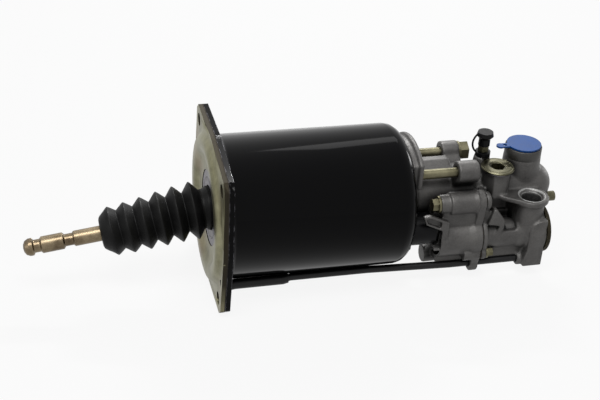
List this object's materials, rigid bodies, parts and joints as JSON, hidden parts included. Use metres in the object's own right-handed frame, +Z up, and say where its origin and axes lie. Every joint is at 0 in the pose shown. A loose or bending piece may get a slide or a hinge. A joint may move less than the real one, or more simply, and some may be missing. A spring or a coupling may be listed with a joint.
{
  "type": "air-assisted clutch servo",
  "caption": "Black air cylinder on a square bolting flange, with a bellows push rod at one end and a cast control valve body with ports, bleed cap and breather pipe at the other",
  "frame": {"origin": "centre of the bolting flange's front face, on the cylinder's axis", "axes": "+X along the cylinder axis to the valve end, -X along the push rod's side, +Z up with the blue-capped port on top, -Y towards the control valve's side"},
  "size_m": [0.437, 0.132, 0.132],
  "materials": {
    "black_paint": "gloss",
    "olive_zinc": "satin yellow-zinc plate",
    "gasket_fibre": "matt",
    "plain_steel": "satin",
    "boot_rubber": "matt",
    "yellow_zinc": "satin yellow-zinc plate",
    "cup_nylon": "satin",
    "cast_aluminium": "as cast",
    "bolt_zinc": "satin zinc plate",
    "spring_steel": "dark satin",
    "seal_rubber": "satin",
    "bush_bronze": "satin",
    "cap_rubber": "satin",
    "blue_plastic": "satin",
    "bright_zinc": "satin zinc plate",
    "pipe_black": "satin"
  },
  "bodies": {
    "base": {"cylinder_can": "black_paint", "cover_plate": "olive_zinc", "cover_gasket": "gasket_fibre", "boot_retainer": "plain_steel", "dust_boot": "boot_rubber", "preload_spring": "spring_steel", "clamp_ring": "plain_steel", "guide_bush": "bush_bronze", "rod_seal": "seal_rubber", "seal_clip": "spring_steel", "servo_housing": "cast_aluminium", "tie_bolts": "bolt_zinc", "tie_washers": "bolt_zinc", "bleed_screw": "bright_zinc", "bleed_cap": "cap_rubber", "hex_plug": "bright_zinc", "plug_washer": "plain_steel", "inlet_cap": "blue_plastic", "end_screw": "bright_zinc", "valve_housing": "cast_aluminium", "joint_gasket": "gasket_fibre", "valve_screws": "bolt_zinc", "rear_cap": "olive_zinc", "air_sleeve": "cap_rubber", "breather_pipe": "pipe_black", "pipe_sleeve": "pipe_black", "valve_seat": "bush_bronze", "relay_spring": "spring_steel", "poppet_spring": "spring_steel"},
    "piston": {"air_piston": "cast_aluminium", "piston_seal": "seal_rubber", "guide_ring": "cup_nylon", "ball_cup": "cup_nylon", "cup_clip": "spring_steel", "plunger": "bright_zinc"},
    "push_rod": {"push_rod": "yellow_zinc", "rod_tip": "yellow_zinc"},
    "relay": {"relay_piston": "cast_aluminium", "relay_seal": "seal_rubber"},
    "poppet": {"poppet": "bush_bronze"}
  },
  "joints": [
    {"name": "piston_slide", "type": "slide", "parent": "base", "child": "piston", "axis": [1, 0, 0], "range_m": [0, 0.05], "stiffness_N_per_m": 1200, "springref_m": -0.04, "deforming": ["dust_boot", "preload_spring"]},
    {"name": "rod_swing", "type": "hinge", "parent": "piston", "child": "push_rod", "pos_m": [0.031, 0, 0], "axis": [0, 1, 0], "range_deg": [0, 6], "deforming": ["dust_boot"]},
    {"name": "relay_slide", "type": "slide", "parent": "base", "child": "relay", "axis": [-1, 0, 0], "range_m": [0, 0.0025], "stiffness_N_per_m": 1500, "springref_m": -0.004, "deforming": ["relay_spring"]},
    {"name": "poppet_slide", "type": "slide", "parent": "base", "child": "poppet", "axis": [-1, 0, 0], "range_m": [0, 0.0015], "stiffness_N_per_m": 800, "springref_m": -0.004, "deforming": ["poppet_spring"]}
  ],
  "couplings": [
    {"joint": "poppet_slide", "follows": "relay_slide", "ratio": 0.6}
  ]
}
